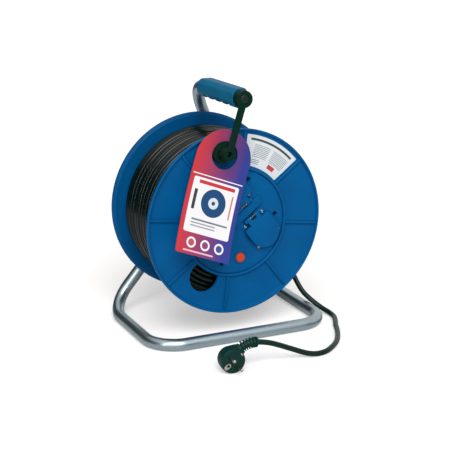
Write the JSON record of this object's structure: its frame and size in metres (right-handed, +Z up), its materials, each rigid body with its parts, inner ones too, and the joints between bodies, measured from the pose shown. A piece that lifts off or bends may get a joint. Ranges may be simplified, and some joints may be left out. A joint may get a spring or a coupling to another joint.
{
  "type": "extension cord reel",
  "caption": "Extension cord reel on a bent steel tube stand, with a moulded drum, lidded sockets, a thermal reset button, a winding knob, a carrying grip with a lock arm, and a plug.",
  "frame": {"origin": "middle of the stand's bounding box, on the floor", "axes": "+Z up, -Y towards the front (the socket side), +X to the right as seen from the front"},
  "size_m": [0.3318, 0.3444, 0.3881],
  "materials": {
    "blue_plastic": "satin",
    "black_plastic": "satin",
    "cable": "satin",
    "zinc_steel": "polished",
    "nickel_brass": "polished",
    "white_plastic": "matte",
    "orange_plastic": "gloss"
  },
  "bodies": {
    "stand": {"frame_tube": "zinc_steel", "handle_grip": "blue_plastic", "handle_cap": "black_plastic", "arm_pivot": "zinc_steel", "axle_collar": "black_plastic", "axle_washer": "zinc_steel", "axle_cap": "black_plastic", "cable_tail": "cable", "strain_relief": "black_plastic", "plug_body": "black_plastic", "plug_pin_upper": "nickel_brass", "plug_pin_lower": "nickel_brass", "plug_earth_plate": "nickel_brass"},
    "arm": {"lock_arm": "black_plastic"},
    "drum": {"front_flange": "blue_plastic", "rear_flange": "blue_plastic", "front_core": "blue_plastic", "rear_core": "blue_plastic", "hub_sleeve": "white_plastic", "hub_bush_front": "white_plastic", "hub_bush_rear": "white_plastic", "socket_panel": "blue_plastic", "socket_insert_right": "black_plastic", "socket_insert_top": "black_plastic", "socket_insert_left": "black_plastic", "earth_bracket_right": "nickel_brass", "earth_bracket_top": "nickel_brass", "earth_bracket_left": "nickel_brass", "lid_pin_right": "zinc_steel", "lid_pin_top": "zinc_steel", "lid_pin_left": "zinc_steel", "lid_spring_right": "zinc_steel", "lid_spring_top": "zinc_steel", "lid_spring_left": "zinc_steel", "thermal_cutout": "black_plastic", "panel_screw_1": "zinc_steel", "panel_screw_2": "zinc_steel", "panel_screw_3": "zinc_steel", "panel_screw_4": "zinc_steel", "drum_bolt_1": "zinc_steel", "drum_bolt_2": "zinc_steel", "drum_bolt_3": "zinc_steel", "drum_bolt_4": "zinc_steel", "knob_pin": "zinc_steel", "cable_winding": "cable", "cable_gland": "black_plastic"},
    "lid_right": {"lid_right": "blue_plastic"},
    "lid_top": {"lid_top": "blue_plastic"},
    "lid_left": {"lid_left": "blue_plastic"},
    "button": {"thermal_button": "orange_plastic"},
    "knob": {"winding_knob": "black_plastic"}
  },
  "joints": [
    {"name": "drum_spin", "type": "hinge", "parent": "stand", "child": "drum", "pos_m": [0, 0.01, 0.18], "axis": [0, 1, 0], "continuous": true},
    {"name": "knob_spin", "type": "hinge", "parent": "drum", "child": "knob", "pos_m": [-0.02299, -0.08, 0.29196], "axis": [0, 1, 0], "continuous": true},
    {"name": "arm_swing", "type": "hinge", "parent": "stand", "child": "arm", "pos_m": [0.002, -0.08997, 0.37355], "axis": [0, 0.9998, -0.0187], "range_deg": [-107, 73]},
    {"name": "lid_right_hinge", "type": "hinge", "parent": "drum", "child": "lid_right", "pos_m": [0.02721, -0.069, 0.1865], "axis": [-0.7912, 0, -0.6115], "range_deg": [0, 95], "stiffness_Nm_per_rad": 0.02, "springref_deg": -28.65},
    {"name": "lid_top_hinge", "type": "hinge", "parent": "drum", "child": "lid_top", "pos_m": [0.01314, -0.069, 0.20469], "axis": [0.7912, 0, 0.6115], "range_deg": [0, 95], "stiffness_Nm_per_rad": 0.02, "springref_deg": -28.65},
    {"name": "lid_left_hinge", "type": "hinge", "parent": "drum", "child": "lid_left", "pos_m": [-0.02721, -0.069, 0.1735], "axis": [0.7912, 0, 0.6115], "range_deg": [0, 95], "stiffness_Nm_per_rad": 0.02, "springref_deg": -28.65},
    {"name": "button_press", "type": "slide", "parent": "drum", "child": "button", "axis": [0, 1, 0], "range_m": [0, 0.0025], "stiffness_N_per_m": 800, "springref_m": -0.001}
  ]
}
